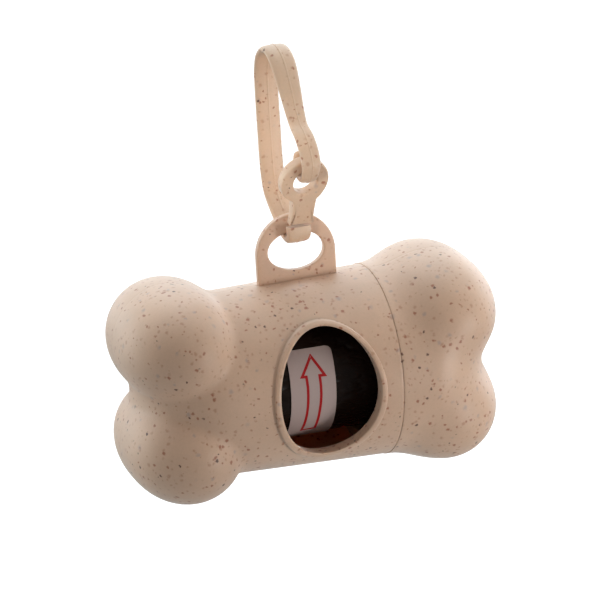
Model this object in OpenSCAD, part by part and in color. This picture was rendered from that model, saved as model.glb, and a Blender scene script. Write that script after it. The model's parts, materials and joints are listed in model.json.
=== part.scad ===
// Bone-shaped holder for a roll of waste bags, with a screw cap and a one-piece strap clip.
// The holder hangs from the clip. Drawn about the barrel's axis, with +X towards the cap,
// -Y towards the dispensing mouth and +Z up, then moved so that the origin is the place
// inside the clip's top bend where a leash seats.

/* [Barrel] */
// Outer radius of the barrel at the cap seam
seam_r = 19.5; // [18.5:0.1:21]
// Gain in radius for each millimetre towards the cap
barrel_slope = 0.032; // [0:0.002:0.04]
// Distance of the cap seam from the middle of the hanging tab
seam_x = 14.5; // [13:0.5:17]
// Wall of the body and the cap
wall = 1.5; // [1.2:0.1:1.8]

/* [Bone ends] */
// Length of a lobe along the bone
lobe_length = 24.7; // [23:0.1:26]
// Height of a lobe
lobe_height = 24.1; // [22.5:0.1:25]
// Depth of a lobe from front to back
lobe_depth = 36; // [33:0.5:38]
// Distance between the middles of the two lobes of one end
lobe_pitch = 20.7; // [19:0.1:21.5]
// Distance of the body's lobes from the tab
body_lobe_x = 26.9; // [25:0.1:29]
// Distance of the cap's lobes from the tab
cap_lobe_x = 27.5; // [26:0.1:29]
// Width of the blend between the body's lobes and its barrel
body_blend = 2.4; // [1.5:0.1:4]
// Width of the blend between the cap's lobes and its barrel
cap_blend = 6; // [3:0.5:8]
// Distance of the valley between the body's lobes from the tab
body_end = 35.3; // [34:0.1:37]
// Distance of the valley between the cap's lobes from the tab
cap_end = 37.4; // [36:0.1:39]
// Angle by which the closed cap stands off line with the body
cap_set = 5; // [0:1:8]

/* [Dispensing mouth] */
// Width of the mouth
mouth_w = 19.6; // [16:0.2:21]
// Height of the mouth
mouth_h = 24.8; // [20:0.2:26]
// Thickness of the raised rim round the mouth
rim_t = 1.3; // [1:0.1:1.8]
// Height of the rim over the barrel
rim_proud = 0.9; // [0.5:0.1:1.3]
// Depth of the rim's collar under the barrel's surface
rim_deep = 2.8; // [2:0.1:3.2]
// Distance of the mouth's middle from the tab, towards the body's end
mouth_x = 0.5; // [0:0.1:1.5]

/* [Hanging tab] */
// Width of the tab
tab_w = 16.5; // [15.5:0.1:18]
// Thickness of the tab
tab_t = 1.6; // [1.4:0.1:2]
// Height of the tab's straight sides over the barrel's axis
tab_side_z = 24.4; // [23.5:0.1:25]
// Width of the eye
eye_w = 11.8; // [10.5:0.1:12]
// Height of the eye
eye_h = 7.9; // [7:0.1:8.2]
// Height of the eye's middle over the barrel's axis
eye_z = 25.05; // [24.7:0.05:25.4]

/* [Cap thread] */
// Length of the threaded neck outside the body
neck_out = 7.5; // [6:0.5:8]
// Wall of the neck
neck_wall = 1.4; // [1.2:0.1:1.6]
// Wall of the cap's liner
liner_wall = 1.1; // [1:0.1:1.3]
// Gap between the neck and the liner
thread_gap = 0.3; // [0.2:0.05:0.4]

/* [Bag roll] */
// Outer radius of the roll of bags
roll_r = 12.9; // [11.5:0.1:13.2]
// Length of the roll
roll_len = 55.4; // [50:0.2:56]
// Inner radius of the cardboard core
core_r = 6.2; // [5.5:0.1:6.8]
// Wall of the cardboard core
core_wall = 0.9; // [0.6:0.1:1.2]
// Length of the pegs that carry the core
peg_len = 6; // [4:0.5:8]
// Gap between a peg and the core
peg_gap = 0.3; // [0.2:0.05:0.5]
// Width of the paper label
label_w = 9.4; // [7:0.2:14]
// Length of the paper label round the roll
label_len = 25; // [18:0.5:30]
// Distance of the label's middle from the tab, towards the body's end
label_x = 2.1; // [0:0.1:5]
// Angle of the label's upper edge over the level of the axis
label_top = 38; // [20:1:50]
// Thickness of the label
label_t = 0.2; // [0.15:0.05:0.3]

/* [Clip] */
// Angle by which the hanging clip is turned against the bone
clip_yaw = 5; // [0:1:8]
// Thickness of the strap
strap_t = 1.8; // [1.6:0.1:2]
// Width of the strap at the back
strap_w = 5; // [4.4:0.1:5.4]
// Outer radius of the ring
ring_r = 5; // [4.7:0.1:5.2]
// Radius of the ring's hole
ring_hole_r = 2.5; // [2.4:0.05:2.7]
// Thickness of the ring
ring_t = 2.3; // [2:0.1:2.5]
// Angle by which the ring and its stem lean forward
ring_lean = 21.8; // [20:0.2:23]
// Width of the stem
stem_w = 4.9; // [4.4:0.1:5.2]

/* [Hidden] */

run_gap = 0.3;             // between pieces that move past each other
fit_gap = 0.1;             // between pieces that are welded or pressed together
step_up = 0.12;            // the cap's rim stands proud of the body by this
disc_t = 1.2;              // end walls
seam_gap = 0.15;           // shows as the line between the body and the cap
wound_gap = 0.04;          // between what is wound on the core
spigot_face = 27.4;        // the end walls' faces towards the roll, from the tab
cap_floor = 28.6;
dome_body = 20;            // where the barrel starts to round off
dome_cap = 22;
shell_cols = 36;           // facets round half a shell
fan_rows = 9;              // rings from the tip of an end to the lobes' middle
calm_rows = 6;             // rings from there to where the barrel runs straight
solve_steps = 15;

// ---- the bone's outer form: two lobes and a tapered, domed barrel, blended ----

function barrel_r(x) = seam_r + barrel_slope * (x - seam_x);

function blend(a, b, k) = let (h = max(k - abs(a - b), 0) / k) min(a, b) - h * h * k / 4;

function lobe_gap(p, x, z) =
    let (q = [p.x - x, p.y, p.z - z],
         h = [lobe_length, lobe_depth, lobe_height] / 2,
         n = norm([q.x / h.x, q.y / h.y, q.z / h.z]),
         g = norm([q.x / h.x / h.x, q.y / h.y / h.y, q.z / h.z / h.z]))
    n * (n - 1) / max(g, 1e-6);

// side is -1 for the body's end and 1 for the cap's end
function barrel_gap(p, side, start, end, swell) =
    let (r = norm([p.y, p.z]), x = side * p.x, edge = barrel_r(side * min(x, start)) + swell)
    x <= start ? r - edge
    : let (n = norm([(x - start) / (end - start), r / edge]),
           g = norm([(x - start) / pow(end - start, 2), r / pow(edge, 2)]))
      n * (n - 1) / max(g, 1e-6);

function bone_gap(p, side) =
    let (body = side < 0,
         x = body ? -body_lobe_x : cap_lobe_x,
         k = body ? body_blend : cap_blend,
         barrel = body ? barrel_gap(p, side, dome_body, body_end, 0)
                       : barrel_gap(p, side, dome_cap, cap_end, step_up))
    blend(blend(lobe_gap(p, x, lobe_pitch / 2), lobe_gap(p, x, -lobe_pitch / 2), k), barrel, k);

// how far along a ray the surface lies, by halving the stretch that holds it
function reach(o, d, side, inset, low = 0, high = 48, left = solve_steps) =
    left == 0 ? (low + high) / 2
    : let (mid = (low + high) / 2)
      bone_gap(o + mid * d, side) < -inset ? reach(o, d, side, inset, mid, high, left - 1)
                                           : reach(o, d, side, inset, low, mid, left - 1);

// one ring of points over the front half, from top to bottom; lean is the angle from the axis
function half_ring(x, lean, side, inset) =
    [for (j = [0 : shell_cols])
        let (a = 180 * j / shell_cols, o = [x, 0, 0],
             d = [side * cos(lean), -sin(lean) * sin(a), sin(lean) * cos(a)])
        o + reach(o, d, side, inset) * d];

function lobe_x(side) = side < 0 ? -body_lobe_x : cap_lobe_x;

// where a shell is open
function rim_x(side) = side < 0 ? seam_x : seam_x + seam_gap;

// where the rings stand: fanned round the lobes' middle, then square to the axis up to the rim
function ring_places(side) =
    let (mid = lobe_x(side), calm = mid - side * (lobe_length / 2 + 1))
    concat([for (i = [1 : fan_rows]) [mid, 90 * i / fan_rows]],
           [for (i = [1 : calm_rows])
               let (x = mid + (calm - mid) * i / calm_rows)
               if (side < 0 || x - rim_x(side) > 1) [x, 90]],
           [[rim_x(side), 90]]);

// the faces between m rings of n points each
function skin_faces(m, n, first = 0) =
    [for (i = [0 : m - 2], j = [0 : n - 2], k = [0, 1])
        let (a = first + i * n + j, b = a + n)
        k == 0 ? [a, a + 1, b] : [a + 1, b + 1, b]];

// the faces between two edges of n points each
function strip_faces(edge_a, edge_b) =
    [for (i = [0 : len(edge_a) - 2], k = [0, 1])
        k == 0 ? [edge_a[i], edge_a[i + 1], edge_b[i]]
               : [edge_a[i + 1], edge_b[i + 1], edge_b[i]]];

function turned_over(faces) = [for (f = faces) [f[2], f[1], f[0]]];

// the faces of a closed loop of m sections with n points each
function loop_faces(m, n) =
    [for (i = [0 : m - 1], j = [0 : n - 1], k = [0, 1])
        let (a = i * n + j, b = i * n + (j + 1) % n,
             c = ((i + 1) % m) * n + j, d = ((i + 1) % m) * n + (j + 1) % n)
        k == 0 ? [a, c, b] : [b, c, d]];

// half of a bone end: the front half, cut at the mid-plane, with a wall of even thickness
module half_shell(side) {
    at = ring_places(side);
    m = len(at);
    n = shell_cols + 1;
    mid = [lobe_x(side), 0, 0];
    way = [side, 0, 0];
    points = concat([for (q = at) each half_ring(q[0], q[1], side, 0)],
                    [for (q = at) each half_ring(q[0], q[1], side, wall)],
                    [mid + reach(mid, way, side, 0) * way, mid + reach(mid, way, side, wall) * way]);
    bore = m * n;                     // first point of the inner skin
    tip = 2 * bore;                   // its outer and inner point follow the skins
    function top(first, end) = concat([end], [for (i = [0 : m - 1]) first + i * n]);
    function low(first, end) = [for (p = top(first, end)) p == end ? p : p + n - 1];
    function end_fan(first, end) = [for (j = [first : first + n - 2]) [end, j + 1, j]];
    function rim(first) = [for (j = [0 : n - 1]) first + (m - 1) * n + j];
    faces = concat(skin_faces(m, n), end_fan(0, tip),
                   turned_over(concat(skin_faces(m, n, bore), end_fan(bore, tip + 1))),
                   strip_faces(top(0, tip), top(bore, tip + 1)),
                   strip_faces(low(bore, tip + 1), low(0, tip)),
                   strip_faces(rim(0), rim(bore)));
    polyhedron(points, side < 0 ? turned_over(faces) : faces, convexity = 8);
}

// ---- dispensing mouth ----

mouth_steps = 48;                     // facets round the mouth
mouth_turns = [for (i = [0 : mouth_steps - 1]) 360 * i / mouth_steps];

function oval(w, h, t) = [w / 2 * cos(t), h / 2 * sin(t)];

module mouth_cut() {
    translate([-mouth_x, 0, 0]) rotate([90, 0, 0])
        linear_extrude(seam_r + 5)
            polygon([for (t = mouth_turns) oval(mouth_w + rim_t, mouth_h + rim_t, t)]);
}

// rounded collar that follows the barrel; a section point is [distance from the mouth's
// edge, height over the barrel]
module mouth_rim() {
    r = rim_t / 2;
    section = concat([[0, -rim_deep]],
                     [for (a = [180 : -36 : 0]) [r + r * cos(a), rim_proud - r + r * sin(a)]],
                     [[rim_t, -rim_deep]]);
    points = [for (t = mouth_turns, q = section)
        let (o = oval(mouth_w + 2 * q[0], mouth_h + 2 * q[0], t) - [mouth_x, 0],
             r = barrel_r(o[0]) + q[1])
        [o[0], -sqrt(r * r - o[1] * o[1]), o[1]]];
    polyhedron(points, loop_faces(mouth_steps, len(section)), convexity = 6);
}

// ---- hanging tab, one half on each shell ----

tab_base = seam_r - wall;             // inside the barrel's wall

// distance from the eye's middle to the tab's outer edge
function tab_edge(t) =
    let (r = tab_w / 2, up = eye_z - tab_side_z,
         arch = sqrt(r * r - pow(up * cos(t), 2)) - up * sin(t))
    eye_z + arch * sin(t) >= tab_side_z ? arch
    : min(r / max(abs(cos(t)), 1e-6), (eye_z - tab_base) / max(-sin(t), 1e-6));

// distance from the eye's middle to its own edge
function eye_edge(t) = 1 / norm([2 * cos(t) / eye_w, 2 * sin(t) / eye_h]);

module half_tab() {
    soft = 0.25;                      // chamfer along all edges
    half_t = tab_t / 2;
    corner = atan((eye_z - tab_base) / (tab_w / 2));
    turns = concat([for (i = [0 : 25]) -corner + (180 + 2 * corner) * i / 26],
                   [for (i = [0 : 7]) 180 + corner + (180 - 2 * corner) * i / 8]);
    points = [for (t = turns)
        let (eye = eye_edge(t), edge = tab_edge(t))
        for (q = [[eye, 0], [eye, half_t - soft], [eye + soft, half_t], [edge - soft, half_t],
                  [edge, half_t - soft], [edge, 0]])
            [q[0] * cos(t), -q[1], eye_z + q[0] * sin(t)]];
    polyhedron(points, loop_faces(len(turns), 6), convexity = 6);
}

// ---- body ----

module housing_colour() { color("#d8c6ad") children(); }

module body_front_shell() {
    housing_colour() {
        difference() {
            union() {
                half_shell(-1);
                half_tab();
            }
            mouth_cut();
        }
        mouth_rim();
    }
}

module body_rear_shell() {
    housing_colour() mirror([0, 1, 0]) {
        half_shell(-1);
        half_tab();
    }
}

// turns a section drawn as [distance along X, radius] round the barrel's axis
module turned() { rotate([0, 90, 0]) rotate_extrude($fn = 96) mirror([1, -1]) children(); }

neck_r = seam_r - wall - fit_gap - liner_wall - fit_gap - thread_gap;

// tube with the cap's thread outside, welded between the two shells
module neck_ring() {
    from = mouth_w / 2 - mouth_x + rim_t + run_gap;
    neck_in = seam_x - from;
    held_r = barrel_r(from) - wall - fit_gap;
    color("#cdb99c") turned() {
        difference() {
            translate([from, 0]) square([neck_in + neck_out, held_r]);
            translate([from - 1, 0])
                square([neck_in + neck_out + 2, neck_r - neck_wall]);
            translate([seam_x, neck_r]) square([neck_out + 1, held_r]);
        }
    }
}

peg_r = core_r - peg_gap;
roll_mid = (cap_floor - spigot_face) / 2;

// disc trapped between the two shells, with a peg that carries one end of the core
module end_spigot() {
    disc_r = roll_r + run_gap;
    color("#cdb99c") turned() {
        translate([-spigot_face - disc_t, 0]) square([disc_t, disc_r]);
        translate([-spigot_face - disc_t, 0]) square([disc_t + peg_len, peg_r]);
    }
}

// ---- cap ----

module cap_half() { rotate([cap_set, 0, 0]) children(); }

module cap_front_shell() { housing_colour() cap_half() half_shell(1); }

module cap_rear_shell() { housing_colour() cap_half() mirror([0, 1, 0]) half_shell(1); }

// sleeve with the thread inside, stepping down to a cup and peg for the end of the roll
module cap_liner() {
    out_r = neck_r + thread_gap + liner_wall;
    in_r = neck_r + thread_gap;
    step_x = seam_x + neck_out + run_gap;
    cup_r = roll_r + 2 * run_gap;
    color("#cdb99c") turned() {
        difference() {
            union() {
                translate([seam_x + fit_gap, 0]) square([step_x - seam_x - fit_gap + disc_t, out_r]);
                translate([step_x, 0]) square([cap_floor + disc_t - step_x, cup_r + liner_wall]);
            }
            translate([seam_x, 0]) square([step_x - seam_x, in_r]);
            translate([seam_x, 0]) square([cap_floor - seam_x, cup_r]);
        }
        translate([cap_floor - peg_len, 0]) square([peg_len + disc_t, peg_r]);
    }
}

// ---- roll of bags ----

module tube_x(mid, length, r_in, r_out) {
    turned() translate([mid - length / 2, r_in]) square([length, r_out - r_in]);
}

module roll_core() { color("#b48f62") tube_x(roll_mid, roll_len, core_r, core_r + core_wall); }

module bag_roll() { color("#1c1c1e") tube_x(roll_mid, roll_len, core_r + core_wall + wound_gap, roll_r); }

module roll_label() {
    arc = label_len / roll_r * 180 / PI;
    color("#ece9e4")
        translate([-label_x - label_w / 2, 0, 0])
            rotate([0, 90, 0])
                rotate([0, 0, -90 - label_top])
                    rotate_extrude(angle = arc, $fn = 96)
                        translate([roll_r + wound_gap, 0]) square([label_t, label_w]);
}

// ---- clip, drawn as a side view [distance from the tab towards the back, height] ----

crest = [5.0, 65.0];                  // the top of the strap's bend
hinge_at = [9.65, 47.8];              // where the back strap flexes
ring_mid = [-6.3, 40.5];
stem_foot = [-2.55, 30.7];            // where the stem stands on the foot's front leg
ring_out = [-cos(ring_lean), -sin(ring_lean)];   // straight out of the ring, forwards
ring_up = [-sin(ring_lean), cos(ring_lean)];     // up along the stem
hook_r = 2.75;                        // mid-line radius of the hook through the ring
hook_mid = ring_mid + 3.5 * ring_up;  // middle of the hook's bend

// strap stations: [side-view point, half width, share of the full thickness]
function hook_point(angle) =
    hook_mid + hook_r * (cos(angle) * ring_out + sin(angle) * ring_up);

loop_path = [
    [hinge_at + [0, run_gap / 2], strap_w / 2, 1],
    [[9.7, 52.5], strap_w / 2, 1],
    [[9.6, 57.2], strap_w / 2, 1],
    [[9.2, 60.4], 2.55, 1],
    [[7.8, 63.3], 2.6, 1],
    [crest, 2.65, 1],
    [[2.2, 64.2], 2.65, 1],
    [[-0.1, 61.9], 2.5, 1],
    [[-2.2, 57.9], 2.15, 1],
    [[-3.9, 54.1], 1.9, 1],
    [[-5.6, 51.2], 1.85, 1.04],
    [[-7.9, 49.4], 1.95, 1.06],
    [[-9.7, 47.1], 2.0, 1],
    [hook_point(20) + 0.9 * ring_up, 1.95, 1],
    [hook_point(0), 1.8, 1],
    [hook_point(-30), 1.65, 0.98],
    [hook_point(-60), 1.5, 0.95],
    [hook_point(-90), 1.4, 0.92],
    [hook_point(-120), 1.35, 0.9],
    [hook_point(-150), 1.3, 0.9],
    [hook_point(-180), 1.25, 0.9],
    [hook_point(-180) + 0.7 * ring_up, 1.2, 0.88]
];

base_path = [
    [[-2.4, 30.9], 2.4, 1.06],
    [[-2.4, 29.4], 2.4, 1.06],
    [[-2.1, 28.3], 2.4, 1.06],
    [[-1.1, 27.65], 2.4, 1.04],
    [[0.2, 27.75], 2.4, 1],
    [[1.9, 28.6], 2.4, 1],
    [[4.2, 30.7], 2.4, 1],
    [[6.6, 33.1], 2.45, 1],
    [[8.4, 35.5], strap_w / 2, 1],
    [[9.3, 38.6], strap_w / 2, 1],
    [[9.6, 42.4], strap_w / 2, 1],
    [[9.65, 45.2], strap_w / 2, 1],
    [hinge_at - [0, run_gap / 2], strap_w / 2, 1]
];

// smooth curve through the stations
function curve(a, b, c, d, t) =
    0.5 * (2 * b + (c - a) * t + (2 * a - 5 * b + 4 * c - d) * t * t
           + (3 * b - a - 3 * c + d) * t * t * t);

function station(path, i, t) =
    let (n = len(path), a = path[max(i - 1, 0)], b = path[i], c = path[i + 1],
         d = path[min(i + 2, n - 1)])
    [curve(a[0], b[0], c[0], d[0], t), curve(a[1], b[1], c[1], d[1], t),
     curve(a[2], b[2], c[2], d[2], t)];

function smoothed(path, cuts) =
    concat([for (i = [0 : len(path) - 2], k = [0 : cuts - 1]) station(path, i, k / cuts)],
           [path[len(path) - 1]]);

// flat strap with a mould line along the middle of both broad faces
strap_section = [[1, -0.35], [1, 0.35], [0.88, 0.76], [0, 1], [-0.88, 0.76], [-1, 0.35],
                 [-1, -0.35], [-0.88, -0.76], [0, -1], [0.88, -0.76]];

module strap(path, cuts, end_caps) {
    line = smoothed(path, cuts);
    last = len(line) - 1;
    n = len(strap_section);
    // rounds the far end off where the strap ends in a tip
    tail = end_caps ? [[0.28, 0.92], [0.52, 0.72], [0.66, 0.4]] : [];
    along = [for (i = [0 : last])
        let (d = line[min(i + 1, last)][0] - line[max(i - 1, 0)][0]) d / norm(d)];
    rings = concat(
        [for (i = [0 : last]) [line[i][0], along[i], line[i][1], line[i][2] * strap_t / 2]],
        [for (q = tail) [line[last][0] + q[0] * along[last], along[last],
                         line[last][1] * q[1], line[last][2] * strap_t / 2 * q[1]]]);
    m = len(rings);
    points = [for (r = rings, q = strap_section)
        let (side = [-r[1][1], r[1][0]], p = r[0] + q[1] * r[3] * side) [q[0] * r[2], p[0], p[1]]];
    walls = [for (i = [0 : m - 2], j = [0 : n - 1], k = [0, 1])
        let (a = i * n + j, b = i * n + (j + 1) % n, c = a + n, d = b + n)
        k == 0 ? [a, b, c] : [b, d, c]];
    polyhedron(points, concat(walls, [[for (j = [n - 1 : -1 : 0]) j]],
                              [[for (j = [0 : n - 1]) (m - 1) * n + j]]), convexity = 6);
}

module clip_colour() { color("#d3b999") rotate([0, 0, clip_yaw]) children(); }

module clip_loop() { clip_colour() strap(loop_path, 3, true); }

// a block across the strap, centred on a side-view point and leaning with the ring
module leaning(p) { translate([0, p[0], p[1]]) rotate([ring_lean, 0, 0]) children(); }

module clip_base() {
    edge = 0.3;
    clip_colour() {
        strap(base_path, 4, false);
        difference() {
            union() {
                leaning(ring_mid) rotate([90, 0, 0])
                    rotate_extrude($fn = 64) polygon([
                        [ring_hole_r, -ring_t / 2 + edge], [ring_hole_r + edge, -ring_t / 2],
                        [ring_r - edge, -ring_t / 2], [ring_r, -ring_t / 2 + edge],
                        [ring_r, ring_t / 2 - edge], [ring_r - edge, ring_t / 2],
                        [ring_hole_r + edge, ring_t / 2], [ring_hole_r, ring_t / 2 - edge]]);
                hull() {
                    leaning(ring_mid - 4.4 * ring_up)
                        cube([stem_w, ring_t - 0.2, 0.6], center = true);
                    translate([0, stem_foot[0], stem_foot[1]])
                        cube([stem_w - 0.2, strap_t, 0.8], center = true);
                }
            }
            leaning(ring_mid) rotate([90, 0, 0])
                cylinder(h = 3 * ring_t, r = ring_hole_r, center = true, $fn = 64);
        }
    }
}

// ---- everything is moved so that the leash seat is the origin ----

seat = [crest[0], crest[1] - strap_t / 2];

module hung() {
    translate([seat[0] * sin(clip_yaw), -seat[0] * cos(clip_yaw), -seat[1]]) children();
}

hung() body_front_shell();
hung() body_rear_shell();
hung() neck_ring();
hung() end_spigot();
hung() cap_front_shell();
hung() cap_rear_shell();
hung() cap_liner();
hung() roll_core();
hung() bag_roll();
hung() roll_label();
hung() clip_loop();
hung() clip_base();
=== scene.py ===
"""The looks of a bone-shaped holder for a roll of waste bags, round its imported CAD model.

The pieces are drawn about the barrel's axis, with X towards the screw cap, -Y towards the
dispensing mouth and Z up, in metres, and then moved to where the CAD model stands.
"""

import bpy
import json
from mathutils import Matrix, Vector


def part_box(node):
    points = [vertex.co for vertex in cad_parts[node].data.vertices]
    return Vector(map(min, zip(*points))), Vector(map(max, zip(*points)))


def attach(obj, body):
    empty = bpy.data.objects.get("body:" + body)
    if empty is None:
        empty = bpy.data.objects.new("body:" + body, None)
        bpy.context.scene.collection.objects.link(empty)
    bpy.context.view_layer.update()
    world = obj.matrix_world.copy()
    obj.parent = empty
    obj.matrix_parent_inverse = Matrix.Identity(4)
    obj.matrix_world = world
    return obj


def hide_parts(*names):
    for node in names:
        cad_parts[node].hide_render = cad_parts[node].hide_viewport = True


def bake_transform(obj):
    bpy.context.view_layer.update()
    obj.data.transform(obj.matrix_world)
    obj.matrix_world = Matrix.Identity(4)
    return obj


bl_info = {
    "name": "Bone bag holder",
    "version": (1, 0, 0),
    "blender": (4, 5, 0),
    "location": "3D View > Sidebar > Bag holder",
    "description": "Dresses the bone-shaped bag holder, its roll of bags and its strap clip",
    "category": "Add Mesh",
}

import json
import math

import bmesh
import bpy
import numpy as np
from bpy.props import FloatProperty, FloatVectorProperty, IntProperty, PointerProperty
from mathutils import Matrix, Vector, noise

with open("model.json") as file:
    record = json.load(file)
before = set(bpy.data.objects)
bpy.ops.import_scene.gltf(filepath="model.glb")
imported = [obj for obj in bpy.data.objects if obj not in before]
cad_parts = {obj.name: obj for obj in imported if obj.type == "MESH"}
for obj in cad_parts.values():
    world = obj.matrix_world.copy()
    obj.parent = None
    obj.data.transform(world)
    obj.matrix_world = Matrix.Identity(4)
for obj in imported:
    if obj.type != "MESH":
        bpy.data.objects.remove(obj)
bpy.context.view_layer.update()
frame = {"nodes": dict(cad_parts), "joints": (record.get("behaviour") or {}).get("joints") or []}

MM = 0.001
JOINTS = {joint["name"]: joint for joint in frame["joints"]}
AXIS_AT = np.array(JOINTS["roll_spin"]["pos_m"])          # the barrel's axis, under the tab
HINGE_AT = np.array(JOINTS["latch_flex"]["pos_m"]) - AXIS_AT


def extent(node):
    """Where a round CAD node starts and ends along the barrel, and its radius."""
    low, high = (np.array(corner) - AXIS_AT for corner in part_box(node))
    return low[0], high[0], (high[2] - low[2]) / 2


ROLL_FROM, ROLL_TO, ROLL_RADIUS = extent("bag_roll")
CORE_RADIUS = extent("roll_core")[2]


# ---- what a user would change ----


def length(name, mm, description):
    """A length in millimetres as a property in metres."""
    return FloatProperty(name=name, description=description, default=mm * MM, unit="LENGTH", precision=5)


def angle(name, degrees, description):
    return FloatProperty(name=name, description=description, default=math.radians(degrees), subtype="ANGLE")


def number(name, value, description, unit="NONE"):
    return FloatProperty(name=name, description=description, default=value, min=0, unit=unit)


def count(name, value, description, least):
    return IntProperty(name=name, description=description, default=value, min=least)


def share(name, value, description):
    return FloatProperty(name=name, description=description, default=value, min=0, max=1, subtype="FACTOR")


def colour(name, value, description):
    return FloatVectorProperty(name=name, description=description, default=value, size=3, min=0, max=1,
                               subtype="COLOR")


class BoneSizes(bpy.types.PropertyGroup):
    """The outer form of the bone and the wall of its shells."""

    seam_radius: length("Seam radius", 19.5, "Outer radius of the barrel at the cap seam")
    slope: number("Slope", 0.032, "Gain in radius towards the cap")
    seam: length("Seam", 14.5, "Distance of the cap seam from the middle of the tab")
    wall: length("Wall", 1.5, "Wall of the body and the cap")
    lobe_length: length("Lobe length", 23.9, "Length of a lobe along the bone")
    body_depth: length("Body lobe depth", 38.2, "Depth of the body's lobes from front to back")
    cap_depth: length("Cap lobe depth", 36.6, "Depth of the cap's lobes from front to back")
    lobe_power: number("Lobe power", 2.5, "Fullness of a lobe's front and back, 2 for an oval")
    lobe_height: length("Lobe height", 23.5, "Height of a lobe")
    lobe_pitch: length("Lobe pitch", 20.7, "Distance between the two lobes of one end")
    body_lobe: length("Body lobes", 26.9, "Distance of the body's lobes from the tab")
    cap_lobe: length("Cap lobes", 27.5, "Distance of the cap's lobes from the tab")
    cap_tuck: length("Cap tuck", 0.5, "How much nearer the cap's lower lobe is to the axis")
    body_blend: length("Body blend", 1.2, "Width of the blend of the body's lobes into its barrel")
    waist_blend: length("Waist blend", 4.0, "Width of the blend between the body's two lobes")
    cap_blend: length("Cap blend", 3.4, "Width of the blend of the cap's lobes")
    body_dome: length("Body dome", 20.0, "Where the body's barrel starts to round off")
    cap_dome: length("Cap dome", 22.0, "Where the cap's barrel starts to round off")
    body_end: length("Body end", 35.3, "Distance of the valley between the body's lobes")
    cap_end: length("Cap end", 36.2, "Distance of the valley between the cap's lobes")
    cap_step: length("Cap step", 0.12, "How far the cap stands proud of the body")
    cap_gap: length("Cap gap", 0.03, "Gap that shows as the line between body and cap")
    cap_set: angle("Cap set", 5.0, "Angle of the closed cap against the body")
    groove: length("Parting groove", 0.03, "Depth of the line where two half shells meet")
    rim_round: length("Rim rounding", 0.07, "Rounding of the rims at the cap seam")
    row_step: length("Row step", 0.55, "Spacing of the mesh along the barrel")
    fan_rows: count("Fan rows", 46, "Rows of mesh round an end", 8)
    columns: count("Columns", 120, "Columns of mesh round half a shell", 12)


class MouthSizes(bpy.types.PropertyGroup):
    """The dispensing mouth and its rolled lip."""

    width: length("Width", 20.5, "Width of the mouth")
    height: length("Height", 26.2, "Height of the mouth")
    offset: length("Offset", 0.55, "Distance of the mouth's middle from the tab")
    drop: length("Drop", 0.1, "How far the mouth's middle is under the axis")
    lip: length("Lip", 1.2, "Thickness of the lip at the sides")
    lip_sag: share("Lip sag", 0.20, "How much thinner the lip is above, and thicker below")
    proud: length("Proud", 0.8, "Height of the lip over the barrel")
    deep: length("Deep", 2.0, "Depth of the lip's collar under the barrel")
    nick_from: angle("Nick from", 229.0, "Where the moulding mark on the lip starts")
    nick_to: angle("Nick to", 237.5, "Where the moulding mark on the lip ends")
    nick: length("Nick", 0.16, "Depth of the moulding mark")
    stations: count("Stations", 192, "Sections round the lip", 24)


class TabSizes(bpy.types.PropertyGroup):
    """The hanging tab, half of which is on each body shell."""

    width: length("Width", 16.5, "Width of the tab")
    thickness: length("Thickness", 1.6, "Thickness of the tab")
    side_height: length("Side height", 24.4, "Height of the straight sides over the axis")
    eye_width: length("Eye width", 11.8, "Width of the eye")
    eye_height: length("Eye height", 7.9, "Height of the eye")
    eye_level: length("Eye level", 25.05, "Height of the eye's middle over the axis")
    rounding: length("Rounding", 0.34, "Rounding of the tab's edges")


class ThreadSizes(bpy.types.PropertyGroup):
    """The screw thread between the body's neck and the cap's liner."""

    root: length("Root radius", 16.4, "Radius of the neck between the ridges")
    ridge: length("Ridge", 0.52, "Height of a ridge")
    half_width: length("Half width", 0.55, "Half the width of a ridge at its foot")
    lead: length("Lead", 2000 * math.pi * 0.00095493, "Travel of the cap in one turn")
    starts: count("Starts", 2, "Number of ridges side by side", 1)
    neck_bore: length("Neck bore", 15.0, "Inner radius of the neck")
    neck_end: length("Neck end", 22.0, "Where the neck ends")
    liner_bore: length("Liner bore", 17.2, "Inner radius of the liner")
    liner_radius: length("Liner radius", 17.8, "Outer radius of the liner")
    cup_bore: length("Cup bore", 13.5, "Inner radius of the cup that holds the roll's end")
    cup_radius: length("Cup radius", 14.6, "Outer radius of that cup")
    cap_floor: length("Cap floor", 28.6, "Where the cup's floor is")
    floor: length("Floor", 1.2, "Thickness of the cup's floor")
    peg_radius: length("Peg radius", 5.9, "Radius of the peg that carries the core")
    peg: length("Peg", 6.0, "Length of that peg")


class RollSizes(bpy.types.PropertyGroup):
    """The roll of bags with its paper label."""

    label_width: length("Label width", 9.4, "Width of the paper label")
    label_length: length("Label length", 25.0, "Length of the label round the roll")
    label_offset: length("Label offset", 2.1, "Distance of the label's middle from the tab")
    label_top: angle("Label top", 36.0, "Angle of the label's upper edge over the axis")
    label_corner: length("Label corner", 1.2, "Rounding of the label's corners")
    paper: length("Paper", 0.10, "Thickness of the paper")
    ink: length("Ink line", 0.55, "Width of the printed line")
    crease: length("Crease", 0.34, "Depth of the creases in the film")


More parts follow.
